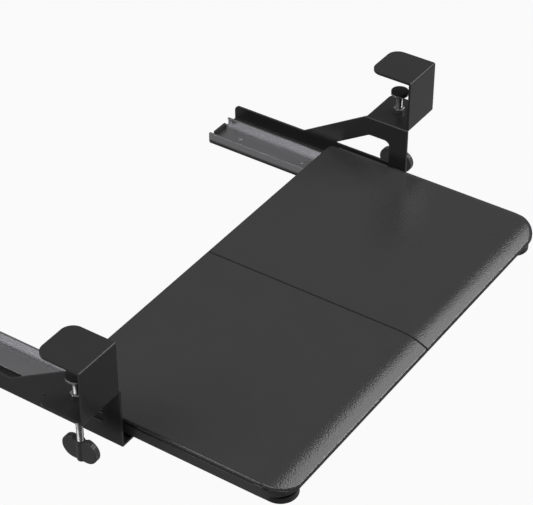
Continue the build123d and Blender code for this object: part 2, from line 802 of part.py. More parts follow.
# Screws from inside the inner slide member up into the beam's bosses
boss_places = [(slide_x, boss_front_y + number * boss_pitch) for number in range(boss_count)]
slide_screws = screw_group(
    boss_places,
    slide_top - slide_sheet,
    tray_screw_head_height,
    slide_sheet + tray_screw_reach - turning_gap,
)
keep_pair(slide_screws, "slide_screws")

# Screws through the beam's web up into the panel
beam_screws = screw_group(
    beam_screw_places(1),
    beam_web_bottom,
    tray_screw_head_height,
    beam_wall + tray_screw_reach - turning_gap,
)
keep_pair(beam_screws, "beam_screws")

# Rubber foot: a pad on a neck under the beam's nose, with a recess for its screw. It is
# round in front, and its flat back stops against the bracket's flange.
foot_top = foot_bottom_z + foot_thickness
with BuildPart() as front_foot:
    with BuildSketch(Plane.XY.offset(foot_bottom_z)) as foot_plan:
        with BuildLine():
            ThreePointArc(
                (slide_x - foot_diameter / 2, foot_y),
                (slide_x, foot_y - foot_diameter / 2),
                (slide_x + foot_diameter / 2, foot_y),
            )
            Polyline(
                (slide_x + foot_diameter / 2, foot_y),
                (slide_x + foot_diameter / 2, foot_rear_y),
                (slide_x - foot_diameter / 2, foot_rear_y),
                (slide_x - foot_diameter / 2, foot_y),
            )
        make_face()
        fillet(foot_plan.vertices().group_by(Axis.Y)[-1], radius=foot_corner)
    extrude(amount=foot_thickness)
    fillet(front_foot.faces().filter_by(Axis.Z).edges(), radius=foot_edge)
    with BuildSketch(Plane.XY.offset(foot_top)):
        with Locations((slide_x, foot_y)):
            Circle(radius=foot_neck_diameter / 2)
    extrude(amount=beam_bottom - foot_top)
    with BuildSketch(Plane.XY.offset(foot_bottom_z)):
        with Locations((slide_x, foot_y)):
            Circle(radius=foot_recess_diameter / 2)
    extrude(amount=foot_recess_depth, mode=Mode.SUBTRACT)
    with BuildSketch(Plane.XY.offset(foot_bottom_z)):
        with Locations((slide_x, foot_y)):
            Circle(radius=tray_screw_diameter / 2 + screw_hole_clearance)
    extrude(amount=beam_bottom - foot_bottom_z, mode=Mode.SUBTRACT)
keep_pair(front_foot.part, "front_foot")

foot_screw = screw_group(
    [(slide_x, foot_y)],
    foot_bottom_z + foot_recess_depth,
    foot_screw_head_height,
    beam_bottom - foot_bottom_z - foot_recess_depth + tray_screw_reach - turning_gap,
)
keep_pair(foot_screw, "foot_screw")

# Steel plates across the seam, screwed to bosses on both panels
for plate_y, plate_name in ((joining_front_y, "front"), (joining_rear_y, "rear")):
    with BuildPart() as joining_plate:
        with BuildSketch(Plane.XY.offset(rib_bottom)) as plate_plan:
            with Locations((seam_x, plate_y)):
                Rectangle(joining_length, joining_width)
            fillet(plate_plan.vertices(), radius=joining_corner)
            with Locations((seam_x, plate_y)):
                with GridLocations(2 * joining_screw_spread, joining_screw_pitch, 2, 2):
                    Circle(
                        radius=tray_screw_diameter / 2 + screw_hole_clearance,
                        mode=Mode.SUBTRACT,
                    )
        extrude(amount=-joining_thickness)
    keep(joining_plate.part, f"{plate_name}_joining_plate")

joining_screws = screw_group(
    seam_boss_places(-1) + seam_boss_places(1),
    rib_bottom - joining_thickness,
    tray_screw_head_height,
    joining_thickness + tray_screw_reach + rib_depth - turning_gap,
)
keep(joining_screws, "joining_screws")

# Dowels through both seam walls, which line the panels up
with BuildPart() as seam_dowels:
    with BuildSketch(Plane.YZ.offset(seam_x - dowel_length / 2)):
        for number in range(dowel_count):
            with Locations((dowel_front_y + number * dowel_pitch, panel_bottom - dowel_drop)):
                Circle(radius=dowel_diameter / 2)
    extrude(amount=dowel_length)
keep(seam_dowels.part, "seam_dowels")
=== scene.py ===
import math

import bmesh
import bpy
from mathutils import Matrix, Vector


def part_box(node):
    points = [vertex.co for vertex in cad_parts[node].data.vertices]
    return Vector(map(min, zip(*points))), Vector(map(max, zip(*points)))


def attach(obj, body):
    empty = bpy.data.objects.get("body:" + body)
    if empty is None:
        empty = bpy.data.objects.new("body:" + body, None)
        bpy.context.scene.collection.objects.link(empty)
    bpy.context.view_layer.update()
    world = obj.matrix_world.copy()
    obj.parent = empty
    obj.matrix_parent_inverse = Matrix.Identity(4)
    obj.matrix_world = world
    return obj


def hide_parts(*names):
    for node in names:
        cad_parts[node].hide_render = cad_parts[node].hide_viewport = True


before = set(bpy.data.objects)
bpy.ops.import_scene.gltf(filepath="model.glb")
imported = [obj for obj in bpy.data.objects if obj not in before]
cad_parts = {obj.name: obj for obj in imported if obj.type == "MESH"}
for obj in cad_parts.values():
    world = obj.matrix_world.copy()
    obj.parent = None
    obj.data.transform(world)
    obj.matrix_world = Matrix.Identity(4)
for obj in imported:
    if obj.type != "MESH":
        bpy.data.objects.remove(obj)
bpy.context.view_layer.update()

# Folded brackets. Each is one piece of 3 mm steel sheet, bent to a hook, a front plate, a shelf,
# a side plate with a window and a flange, then coated all over in satin black powder.
# The laser-cut edges are broken a little, so they catch the light as thin lines.
SIDES = ("left", "right")
CUT_EDGE = 0.0005
EDGE_SEGMENTS = 2
PLANAR_ANGLE = math.radians(0.4)
SHARP_ANGLE = math.radians(32)
MERGE_DISTANCE = 1e-6
PEBBLE_SOFTNESS = 0.35
FINE_PER_PEBBLE = 2.7
SOCKET_TYPES = {"Colour": "NodeSocketColor", "Normal": "NodeSocketVector"}
SHADER_SOCKETS = {"Colour": "Base Color", "Roughness": "Roughness", "Normal": "Normal"}


def link_object(data, name):
    """Puts a mesh, a lamp or a camera into the scene."""
    thing = bpy.data.objects.new(name, data)
    bpy.context.scene.collection.objects.link(thing)
    return thing


def solid_from_frame(node, name):
    """A merged copy of one piece of the frame, with its flat faces whole."""
    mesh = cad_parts[node].data.copy()
    mesh.name = name
    mesh.materials.clear()
    shape = bmesh.new()
    shape.from_mesh(mesh)
    bmesh.ops.remove_doubles(shape, verts=shape.verts, dist=MERGE_DISTANCE)
    bmesh.ops.dissolve_limit(
        shape, angle_limit=PLANAR_ANGLE, verts=shape.verts, edges=shape.edges, delimit={"NORMAL"}
    )
    shape.to_mesh(mesh)
    shape.free()
    return link_object(mesh, name)


def shade_smooth(piece, angle=SHARP_ANGLE):
    """Smooth faces, split only where two of them meet at more than the angle."""
    shape = bmesh.new()
    shape.from_mesh(piece.data)
    for face in shape.faces:
        face.smooth = True
    for edge in shape.edges:
        edge.smooth = edge.is_manifold and edge.calc_face_angle(0.0) < angle
    shape.to_mesh(piece.data)
    shape.free()


def break_edges(piece, width):
    """Rounds every sharp edge of a piece by a small width, and leaves its flat faces flat."""
    shade_smooth(piece)
    bevel = piece.modifiers.new("edge break", "BEVEL")
    bevel.width = width
    bevel.segments = EDGE_SEGMENTS
    bevel.limit_method = "ANGLE"
    bevel.angle_limit = SHARP_ANGLE
    bevel.use_clamp_overlap = True
    flats = piece.modifiers.new("true flats", "WEIGHTED_NORMAL")
    flats.mode = "FACE_AREA"
    flats.keep_sharp = True


def effect_group(name, inputs, outputs):
    """An empty shader node group with its sockets, and its input and output nodes."""
    group = bpy.data.node_groups.new(name, "ShaderNodeTree")
    for socket_name, value in inputs.items():
        kind = SOCKET_TYPES.get(socket_name, "NodeSocketFloat")
        socket = group.interface.new_socket(socket_name, in_out="INPUT", socket_type=kind)
        socket.default_value = value
    for socket_name in outputs:
        kind = SOCKET_TYPES.get(socket_name, "NodeSocketFloat")
        group.interface.new_socket(socket_name, in_out="OUTPUT", socket_type=kind)
    return group, group.nodes.new("NodeGroupInput"), group.nodes.new("NodeGroupOutput")


def feed(tree, socket, value):
    """Links another node's output to a socket, or sets the socket to a plain value."""
    if isinstance(value, bpy.types.NodeSocket):
        tree.links.new(value, socket)
    else:
        socket.default_value = value


def worked(tree, operation, *values):
    """One Math node, fed by plain numbers or by the outputs of other nodes."""
    node = tree.nodes.new("ShaderNodeMath")
    node.operation = operation
    for socket, value in zip(node.inputs, values):
        feed(tree, socket, value)
    return node.outputs[0]


def object_place(group):
    """Where a point lies on the object, in metres."""
    return group.nodes.new("ShaderNodeTexCoord").outputs["Object"]


def noise(group, **values):
    """Soft random patches between 0 and 1."""
    patches = group.nodes.new("ShaderNodeTexNoise")
    for socket, value in values.items():
        feed(group, patches.inputs[socket], value)
    return patches.outputs["Fac"]


def shaded(group, colour, share):
    """A colour made darker or lighter by a share."""
    tint = group.nodes.new("ShaderNodeVectorMath")
    tint.operation = "SCALE"
    group.links.new(colour, tint.inputs[0])
    group.links.new(share, tint.inputs["Scale"])
    return tint.outputs[0]


def bumped(group, height):
    """The normal of a surface with a height in metres."""
    bump = group.nodes.new("ShaderNodeBump")
    bump.inputs["Distance"].default_value = 1.0
    group.links.new(height, bump.inputs["Height"])
    return bump.outputs[0]


def shift_finish(group, given, out, pattern):
    """Lets a pattern round 0 shift the colour and the roughness, each by its own spread."""
    shade = worked(group, "MULTIPLY_ADD", pattern, given.outputs["Colour spread"], 1.0)
    gloss = worked(
        group, "MULTIPLY_ADD",
        pattern, given.outputs["Roughness spread"], given.outputs["Roughness"],
    )
    group.links.new(shaded(group, given.outputs["Colour"], shade), out.inputs["Colour"])
    group.links.new(gloss, out.inputs["Roughness"])


def mottle_group():
    """Cloudy change of colour and gloss, as handling and dust give a dull surface."""
    group, given, out = effect_group(
        "cloudy mottle",
        {
            "Colour": (0.05, 0.05, 0.05, 1.0),
            "Colour spread": 0.12,
            "Roughness": 0.5,
            "Roughness spread": 0.06,
            "Patches per metre": 25.0,
        },
        ("Colour", "Roughness"),
    )
    place, scale = object_place(group), given.outputs["Patches per metre"]
    patches = noise(group, Vector=place, Scale=scale, Detail=5.0, Roughness=0.6)
    shift_finish(group, given, out, worked(group, "SUBTRACT", patches, 0.5))
    return group


def grain_group():
    """Raised pebbles with fine lines between them, as on coated steel or etched mould skin."""
    group, given, out = effect_group(
        "pebble grain",
        {"Pebbles per metre": 600.0, "Height": 0.0001, "Fine share": 0.3, "Form height": 0.0},
        ("Normal",),
    )
    place, scale = object_place(group), given.outputs["Pebbles per metre"]
    pebbles = group.nodes.new("ShaderNodeTexVoronoi")
    pebbles.feature = "SMOOTH_F1"
    pebbles.inputs["Smoothness"].default_value = PEBBLE_SOFTNESS
    group.links.new(place, pebbles.inputs["Vector"])
    group.links.new(scale, pebbles.inputs["Scale"])
    fine_scale = worked(group, "MULTIPLY", scale, FINE_PER_PEBBLE)
    fine = noise(group, Vector=place, Scale=fine_scale, Detail=2.0)
    crown = worked(group, "SUBTRACT", 1.0, pebbles.outputs["Distance"])
    both = worked(group, "MULTIPLY_ADD", fine, given.outputs["Fine share"], crown)
    relief = worked(
        group, "MULTIPLY_ADD", both, given.outputs["Height"], given.outputs["Form height"]
    )
    group.links.new(bumped(group, relief), out.inputs["Normal"])
    return group


CLOUDY_MOTTLE = mottle_group()
PEBBLE_GRAIN = grain_group()


def shader_of(material):
    """The shader that a finish ends in."""
    return material.node_tree.nodes["Principled BSDF"]


def plain_finish(name, metallic):
    """A new material with nothing but its shader."""
    material = bpy.data.materials.new(name)
    material.use_nodes = True
    shader_of(material).inputs["Metallic"].default_value = metallic
    return material


def add_effect(material, group, values):
    """Places an effect in a material and links what it puts out to the shader."""
    tree = material.node_tree
    effect = tree.nodes.new("ShaderNodeGroup")
    effect.node_tree = group
    effect.name = group.name
    for socket, value in values.items():
        feed(tree, effect.inputs[socket], value)
    for output, socket in SHADER_SOCKETS.items():
        if output in effect.outputs:
            tree.links.new(effect.outputs[output], shader_of(material).inputs[socket])
    return effect


def grained_finish(name, colour, roughness, pebbles, height, metallic=0.0, level=0.3):
    """A material whose colour and gloss drift a little over a raised grain."""
    material = plain_finish(name, metallic)
    shader_of(material).inputs["Specular IOR Level"].default_value = level
    add_effect(material, CLOUDY_MOTTLE, {"Colour": (*colour, 1.0), "Roughness": roughness})
    add_effect(material, PEBBLE_GRAIN, {"Pebbles per metre": pebbles, "Height": height})
    return material


def seat(piece, body, material, node):
    """Gives a piece its finish, sets what it moves with, and hides the frame part it stands for.
    """
    piece.data.materials.clear()
    piece.data.materials.append(material)
    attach(piece, body)
    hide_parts(node)


def dress(node, name, body, material, edge=None):
    """Shows a piece of the frame as a merged copy, with its finish and its edges broken."""
    piece = solid_from_frame(node, name)
    if edge is None:
        shade_smooth(piece)
    else:
        break_edges(piece, edge)
    seat(piece, body, material, node)


powder_coat = grained_finish(
    "satin powder coat", colour=(0.021, 0.021, 0.022), roughness=0.3,
    pebbles=1100.0, height=0.00003, level=0.33,
)
for side in SIDES:
    dress(
        f"{side}_bracket", f"{side}_folded_bracket", "clamps", powder_coat, CUT_EDGE
    )

# Hook pads. Thin sheets of soft black rubber, cut to the hook's outline and glued under it,
# so that the steel doesn't mark the desk.
PAD_EDGE = 0.0002
pad_rubber = grained_finish(
    "sheet rubber", colour=(0.018, 0.018, 0.018), roughness=0.75, pebbles=1500.0, height=0.00004
)
for side in SIDES:
    dress(f"{side}_hook_pad", f"{side}_hook_rubber", "clamps", pad_rubber, PAD_EDGE)

# Weld nuts on the shelves: M8 hexagons of plated steel, chamfered on top, with the screw
# running through. Zinc plate is pale grey with a soft, slightly patchy shine.
NUT_EDGE = 0.0003
zinc_plate = grained_finish(
    "zinc plate", colour=(0.40, 0.40, 0.41), roughness=0.36,
    pebbles=2500.0, height=0.00001, metallic=1.0,
)
for side in SIDES:
    dress(f"{side}_clamp_nut", f"{side}_weld_nut", "clamps", zinc_plate, NUT_EDGE)

# Clamp screws: zinc-plated M8 rods with a rolled thread of 1.25 mm pitch. The turned tip at
# the top goes into the pressure cup.
THREAD_RADIUS = 0.004
THREAD_ROOT = 0.00338
THREAD_PITCH = 0.00125
THREAD_STEPS = 20
THREAD_OUTLINE = (
    (THREAD_ROOT, 0.0), (THREAD_ROOT, 0.08), (THREAD_RADIUS, 0.42),
    (THREAD_RADIUS, 0.58), (THREAD_ROOT, 0.92), (THREAD_ROOT, 1.0),
)
TIP_RADIUS = 0.0026
TIP_LENGTH = 0.003
TIP_OVERLAP = 0.0004
TIP_CHAMFER = 0.0005
TIP_STEPS = 32
SCREW_X = {"left": -0.3239, "right": 0.3239}
SCREW_Y = 0.0285
POLE_DISTANCE = 1e-7


def link_mesh(shape, name):
    """Turns a finished bmesh into a linked object at the origin."""
    mesh = bpy.data.meshes.new(name)
    shape.to_mesh(mesh)
    shape.free()
    return link_object(mesh, name)


def spin_profile(shape, profile, steps, at):
    """Adds a solid of revolution about a vertical line, from (radius, height) points."""
    points = [shape.verts.new((radius, 0.0, height)) for radius, height in profile]
    edges = [shape.edges.new(pair) for pair in zip(points, points[1:])]
    bmesh.ops.spin(
        shape, geom=points + edges, cent=(0, 0, 0), axis=(0, 0, 1), dvec=(0, 0, 0),
        angle=math.tau, steps=steps, use_merge=True, use_duplicate=False,
    )
    spun = {vert for edge in edges for vert in edge.verts}
    spun.update(vert for face in shape.faces if not face.tag for vert in face.verts)
    for face in shape.faces:
        face.tag = True
    bmesh.ops.translate(shape, verts=list(spun), vec=(at[0], at[1], 0.0))


def turned(profile, name, steps, at):
    """One turned piece with its poles closed."""
    shape = bmesh.new()
    spin_profile(shape, profile, steps, at)
    bmesh.ops.remove_doubles(shape, verts=shape.verts, dist=POLE_DISTANCE)
    bmesh.ops.recalc_face_normals(shape, faces=shape.faces)
    return link_mesh(shape, name)


def threaded_rod(name, low, high, at):
    """A rod with a right-handed thread, from a one-pitch profile spun up its axis."""
    turns = math.ceil((high - low) / THREAD_PITCH) + 1
    start = low - THREAD_PITCH
    shape = bmesh.new()
    points = [
        shape.verts.new((radius, 0.0, start + share * THREAD_PITCH))
        for radius, share in THREAD_OUTLINE
    ]
    edges = [shape.edges.new(pair) for pair in zip(points, points[1:])]
    bmesh.ops.spin(
        shape, geom=points + edges, cent=(0, 0, 0), axis=(0, 0, 1),
        dvec=(0, 0, THREAD_PITCH / THREAD_STEPS), angle=math.tau * turns,
        steps=THREAD_STEPS * turns, use_merge=False, use_duplicate=False,
    )
    bmesh.ops.remove_doubles(shape, verts=shape.verts, dist=MERGE_DISTANCE)
    for level, keep_above in ((low, True), (high, False)):
        cut = bmesh.ops.bisect_plane(
            shape, geom=shape.verts[:] + shape.edges[:] + shape.faces[:], dist=POLE_DISTANCE,
            plane_co=(0, 0, level), plane_no=(0, 0, 1),
            clear_inner=keep_above, clear_outer=not keep_above,
        )
        rim = [part for part in cut["geom_cut"] if isinstance(part, bmesh.types.BMEdge)]
        bmesh.ops.edgeloop_fill(shape, edges=rim)
    bmesh.ops.recalc_face_normals(shape, faces=shape.faces)
    bmesh.ops.translate(shape, verts=shape.verts, vec=(at[0], at[1], 0.0))
    return link_mesh(shape, name)


thread_steel = grained_finish(
    "plated thread", colour=(0.36, 0.36, 0.37), roughness=0.3,
    pebbles=2600.0, height=0.00001, metallic=1.0,
)
for side in SIDES:
    at = (SCREW_X[side], SCREW_Y)
    low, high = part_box(f"{side}_clamp_screw")
    top = high[2]
    shoulder = top - TIP_LENGTH
    rod = threaded_rod(f"{side}_threaded_rod", low[2], shoulder, at)
    tip_profile = (
        (0.0, shoulder - TIP_OVERLAP), (TIP_RADIUS, shoulder - TIP_OVERLAP),
        (TIP_RADIUS, top - TIP_CHAMFER), (TIP_RADIUS - TIP_CHAMFER, top), (0.0, top),
    )
    tip = turned(tip_profile, f"{side}_screw_tip", TIP_STEPS, at)
    for piece in (rod, tip):
        shade_smooth(piece)
        seat(piece, f"{side}_screw", thread_steel, f"{side}_clamp_screw")

# Pressure cups and pads. A plated cup turns freely on each screw's tip, and carries a thick
# rubber disc that presses up against the desk.
CUP_EDGE = 0.0002
for side in SIDES:
    presser = f"{side}_presser"
    dress(
        f"{side}_pressure_cup", f"{side}_screw_cup", presser, zinc_plate, CUP_EDGE
    )
    dress(f"{side}_pressure_pad", f"{side}_screw_pad", presser, pad_rubber)

# Wing knobs of black glass-filled nylon, moulded round the screws. The two lobes have grip
# grooves over their rims, and the faces a fine spark-eroded texture.
KNOB_EDGE = 0.0003
knob_nylon = grained_finish(
    "knob nylon", colour=(0.052, 0.052, 0.053), roughness=0.28, pebbles=1800.0, height=0.00003
)
for side in SIDES:
    dress(
        f"{side}_wing_knob", f"{side}_thumb_knob", f"{side}_screw", knob_nylon,
        KNOB_EDGE,
    )

# Outer slide members: channels rolled from 1.2 mm zinc-plated strip, riveted to the flanges,
# with a rubber block at the back that the inner member stops against. Rolling leaves fine
# streaks along the strip.
STRIP_EDGE = 0.0002
RIVET_EDGE = 0.0003
STOP_EDGE = 0.0005
STREAKS_ACROSS = 1400.0
STREAKS_ALONG = 14.0


def streak_group():
    """Fine straight streaks along Y, lighter and darker, glossier and duller."""
    group, given, out = effect_group(
        "rolled streaks",
        {
            "Colour": (0.45, 0.45, 0.46, 1.0),
            "Colour spread": 0.16,
            "Roughness": 0.3,
            "Roughness spread": 0.22,
            "Depth": 0.000002,
        },
        ("Colour", "Roughness", "Normal"),
    )
    stretch = group.nodes.new("ShaderNodeMapping")
    stretch.inputs["Scale"].default_value = (STREAKS_ACROSS, STREAKS_ALONG, STREAKS_ACROSS)
    group.links.new(object_place(group), stretch.inputs["Vector"])
    streaks = noise(group, Vector=stretch.outputs[0], Scale=1.0, Detail=3.0)
    centred = worked(group, "SUBTRACT", streaks, 0.5)
    shift_finish(group, given, out, centred)
    depth = worked(group, "MULTIPLY", centred, given.outputs["Depth"])
    group.links.new(bumped(group, depth), out.inputs["Normal"])
    return group


ROLLED_STREAKS = streak_group()


def rolled_finish(name, colour, roughness):
    """Bare plated strip with the mill's streaks."""
    material = plain_finish(name, metallic=1.0)
    add_effect(material, ROLLED_STREAKS, {"Colour": (*colour, 1.0), "Roughness": roughness})
    return material


slide_zinc = rolled_finish("rolled zinc strip", colour=(0.34, 0.34, 0.35), roughness=0.36)
for side in SIDES:
    dress(
        f"{side}_slide_outer", f"{side}_outer_channel", "clamps", slide_zinc,
        STRIP_EDGE,
    )
    dress(
        f"{side}_slide_rivets", f"{side}_channel_rivets", "clamps", zinc_plate, RIVET_EDGE
    )
    dress(f"{side}_slide_stop", f"{side}_rubber_stop", "clamps", pad_rubber, STOP_EDGE)

# Ball cages and balls. A cage is thin spring strip folded to a channel, with a row of holes
# along each side, and a polished steel ball in each hole.
CAGE_EDGE = 0.0001
cage_strip = rolled_finish("spring strip", colour=(0.3, 0.3, 0.31), roughness=0.34)
ball_steel = grained_finish(
    "ball steel", colour=(0.58, 0.58, 0.6), roughness=0.08,
    pebbles=3000.0, height=0.000001, metallic=1.0,
)
for side in SIDES:
    cage = f"{side}_cage"
    dress(f"{side}_slide_cage", f"{side}_ball_cage", cage, cage_strip, CAGE_EDGE)
    dress(f"{side}_slide_balls", f"{side}_steel_balls", cage, ball_steel)

# Inner slide members: narrower rolled channels, screwed up into the side beams, with lips
# turned out under the balls.
for side in SIDES:
    dress(
        f"{side}_slide_inner", f"{side}_inner_channel", "tray", slide_zinc,
        STRIP_EDGE,
    )

# Side beams: moulded channels with a solid nose that follows the panel's rounded corner.
# They are filled black plastic with a finer grain than the panels.
BEAM_EDGE = 0.0004
beam_plastic = grained_finish(
    "beam plastic", colour=(0.056, 0.056, 0.057), roughness=0.42, pebbles=1300.0, height=0.00004
)
for side in SIDES:
    dress(f"{side}_side_beam", f"{side}_tray_beam", "tray", beam_plastic, BEAM_EDGE)

# Tray screws: zinc-plated thread-forming screws with pan heads and cross recesses. They hold
# the slides, the beams, the feet and the joining plates, all from below.
HEAD_RADIUS = 0.0035
HEAD_RINGS = (0.3, 0.6, 0.8, 0.92, 0.985, 1.0)
HEAD_ROUNDNESS = 0.96
HEAD_DOME = 0.85
LOW_HEAD = 0.0018
FOOT_HEAD = 0.002
SHANK_RADIUS = 0.00175
ROOT_RADIUS = 0.00135
RING_PITCH = 0.0013
RING_FLANK = 0.35
POINT_LENGTH = 0.0004
POINT_SHARE = 0.6
SCREW_STEPS = 28
SCREW_SHARP_ANGLE = math.radians(40)
RECESS_REACH = 0.0019
RECESS_HALF = 0.00042
RECESS_DEPTH = 0.0012
RECESS_LEAD = 0.0003
RECESS_TAPER = 0.62


def loose_boxes(node):
    """The lowest and highest corners of each separate solid in a piece of the frame."""
    shape = bmesh.new()
    shape.from_mesh(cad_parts[node].data)
    bmesh.ops.remove_doubles(shape, verts=shape.verts, dist=MERGE_DISTANCE)
    boxes = []
    waiting = set(shape.verts)
    while waiting:
        reached = [waiting.pop()]
        corners = []
        while reached:
            vert = reached.pop()
            corners.append(vert.co.copy())
            for edge in vert.link_edges:
                other = edge.other_vert(vert)
                if other in waiting:
                    waiting.remove(other)
                    reached.append(other)
        low = [min(corner[axis] for corner in corners) for axis in range(3)]
        high = [max(corner[axis] for corner in corners) for axis in range(3)]
        boxes.append((low, high))
    shape.free()
    return sorted(boxes)


def screw_profile(low, high, head_height):
    """Half outline of one screw: domed head below, then a ringed shank to a blunt point."""
    head_top = low + head_height
    outline = [(0.0, low)]
    for share in HEAD_RINGS:
        drop = 1.0 - math.sqrt(1.0 - (share * HEAD_ROUNDNESS) ** 2)
        outline.append((HEAD_RADIUS * share, low + drop * head_height * HEAD_DOME))
    outline += [(HEAD_RADIUS, head_top), (SHANK_RADIUS, head_top)]
    level = head_top + RING_PITCH
    while level < high - RING_PITCH:
        outline += [
            (ROOT_RADIUS, level - RING_PITCH * RING_FLANK),
            (SHANK_RADIUS, level),
            (ROOT_RADIUS, level + RING_PITCH * RING_FLANK),
        ]
        level += RING_PITCH
    outline += [(ROOT_RADIUS, high - POINT_LENGTH), (ROOT_RADIUS * POINT_SHARE, high), (0.0, high)]
    return outline


def recess_cutter(shape, at, level):
    """Adds a tapered four-armed cross that cuts a driver recess up into a head."""
    arm, half = RECESS_REACH, RECESS_HALF
    outline = (
        (-half, -arm), (half, -arm), (half, -half), (arm, -half), (arm, half), (half, half),
        (half, arm), (-half, arm), (-half, half), (-arm, half), (-arm, -half), (-half, -half),
    )
    verts = [shape.verts.new((at[0] + x, at[1] + y, level - RECESS_LEAD)) for x, y in outline]
    face = shape.faces.new(verts)
    raised = bmesh.ops.extrude_face_region(shape, geom=[face])
    top = [part for part in raised["geom"] if isinstance(part, bmesh.types.BMVert)]
    bmesh.ops.translate(shape, verts=top, vec=(0, 0, RECESS_DEPTH + RECESS_LEAD))
    bmesh.ops.scale(
        shape, verts=top, vec=(RECESS_TAPER, RECESS_TAPER, 1.0),
        space=Matrix.Translation((-at[0], -at[1], 0.0)),
    )


def cut_away(piece, cutter):
    """Cuts one closed shape out of another and removes the cutter."""
    cut = piece.modifiers.new("recess", "BOOLEAN")
    cut.operation = "DIFFERENCE"
    cut.object = cutter
    graph = bpy.context.evaluated_depsgraph_get()
    carved = bpy.data.meshes.new_from_object(piece.evaluated_get(graph))
    piece.modifiers.clear()
    piece.data = carved
    bpy.data.objects.remove(cutter)


def cross_head_screws(node, name, head_height):
    """Screws with cross recesses in the places of a piece of the frame."""
    shape = bmesh.new()
    crosses = bmesh.new()
    for low, high in loose_boxes(node):
        at = ((low[0] + high[0]) / 2, (low[1] + high[1]) / 2)
        spin_profile(shape, screw_profile(low[2], high[2], head_height), SCREW_STEPS, at)
        recess_cutter(crosses, at, low[2])
    bmesh.ops.remove_doubles(shape, verts=shape.verts, dist=POLE_DISTANCE)
    bmesh.ops.recalc_face_normals(shape, faces=shape.faces)
    bmesh.ops.recalc_face_normals(crosses, faces=crosses.faces)
    screws = link_mesh(shape, name)
    cut_away(screws, link_mesh(crosses, f"{name}_crosses"))
    shade_smooth(screws, SCREW_SHARP_ANGLE)
    seat(screws, "tray", zinc_plate, node)


for side in SIDES:
    cross_head_screws(f"{side}_slide_screws", f"{side}_channel_screws", LOW_HEAD)
    cross_head_screws(f"{side}_beam_screws", f"{side}_board_screws", LOW_HEAD)
    cross_head_screws(f"{side}_foot_screw", f"{side}_pad_screw", FOOT_HEAD)
cross_head_screws("joining_screws", "tie_plate_screws", LOW_HEAD)

# Front feet: moulded rubber pads on a short neck, screwed up into the beams' noses. Each is
# round in front, and its flat back stops the tray.
FOOT_EDGE = 0.0003
foot_rubber = grained_finish(
    "foot rubber", colour=(0.024, 0.024, 0.024), roughness=0.4, pebbles=1600.0, height=0.00002
)
for side in SIDES:
    dress(f"{side}_front_foot", f"{side}_rubber_foot", "tray", foot_rubber, FOOT_EDGE)

# Tray panels: two moulded boards of charcoal plastic, side by side, with ribs underneath. A
# pebble grain shows where the front edge slopes down, the rim along the sides is soft, and
# the joint between the boards is a thin, dull line, darkened with painted shade.
BOARD_EDGE = 0.0005
BOARD_SIDE = 0.2809
BOARD_FRONT = -0.1995
BOARD_CORNER = 0.030
RIM_RADIUS = 0.0045
RIM_STEEPEST = 0.9
RIM_FADE = 0.5
SEAM_X = 0.0095
SEAM_HALF_WIDTH = 0.0015
SEAM_ROUGHNESS = 0.75
# Painted shade: the seam strip is drawn this much darker.
SEAM_PAINTED_SHADE = -0.6


def object_axes(group):
    """The same place as object_place gives, as separate X, Y and Z."""
    parts = group.nodes.new("ShaderNodeSeparateXYZ")
    group.links.new(object_place(group), parts.inputs[0])
    return parts.outputs


def kept_between(group, value, low, high):
    """A value that goes no lower and no higher than two limits."""
    return worked(group, "MINIMUM", worked(group, "MAXIMUM", value, low), high)


def soft_rim_group():
    """Height of a rounded rim along the sides and round the front corners of the boards."""
    group, given, out = effect_group(
        "soft rim",
        {"Side": BOARD_SIDE, "Front": BOARD_FRONT, "Corner": BOARD_CORNER, "Rim": RIM_RADIUS},
        ("Height",),
    )
    place = object_axes(group)
    corner, rim = given.outputs["Corner"], given.outputs["Rim"]
    centre_x = worked(group, "SUBTRACT", given.outputs["Side"], corner)
    centre_y = worked(group, "ADD", given.outputs["Front"], corner)
    out_x = worked(group, "SUBTRACT", worked(group, "ABSOLUTE", place["X"]), centre_x)
    out_y = worked(group, "SUBTRACT", centre_y, place["Y"])
    past_x = worked(group, "MAXIMUM", out_x, 0.0)
    past_y = worked(group, "MAXIMUM", out_y, 0.0)
    square_y = worked(group, "MULTIPLY", past_y, past_y)
    squares = worked(group, "MULTIPLY_ADD", past_x, past_x, square_y)
    inside = worked(group, "SUBTRACT", corner, worked(group, "SQRT", squares))
    turn = worked(group, "DIVIDE", worked(group, "SUBTRACT", rim, inside), rim)
    turn = kept_between(group, turn, 0.0, RIM_STEEPEST)
    level = worked(group, "SUBTRACT", 1.0, worked(group, "MULTIPLY", turn, turn))
    fall = worked(group, "SUBTRACT", worked(group, "SQRT", level), 1.0)
    drop = worked(group, "MULTIPLY", fall, rim)
    fade = worked(group, "DIVIDE", out_x, worked(group, "MULTIPLY", corner, RIM_FADE))
    fade = kept_between(group, fade, 0.0, 1.0)
    group.links.new(worked(group, "MULTIPLY", drop, fade), out.inputs["Height"])
    return group


def seam_dulling_and_painted_shade_group():
    """Duller strip along the joint between the boards, darkened with painted shade where their
    edges shade each other.
    """
    group, given, out = effect_group(
        "dull seam with painted shade",
        {
            "Colour": (0.05, 0.05, 0.05, 1.0),
            "Roughness": 0.2,
            "Seam": SEAM_X,
            "Half width": SEAM_HALF_WIDTH,
            "Seam roughness": SEAM_ROUGHNESS,
            "Seam painted shade": SEAM_PAINTED_SHADE,
        },
        ("Colour", "Roughness"),
    )
    away = worked(group, "SUBTRACT", object_axes(group)["X"], given.outputs["Seam"])
    near = worked(group, "LESS_THAN", worked(group, "ABSOLUTE", away), given.outputs["Half width"])
    dull = worked(group, "MULTIPLY", near, given.outputs["Seam roughness"])
    gloss = worked(group, "MAXIMUM", dull, given.outputs["Roughness"])
    # Painted shade: the strip's colour is darkened where the boards' edges shade each other.
    shade = worked(group, "MULTIPLY_ADD", near, given.outputs["Seam painted shade"], 1.0)
    group.links.new(shaded(group, given.outputs["Colour"], shade), out.inputs["Colour"])
    group.links.new(gloss, out.inputs["Roughness"])
    return group


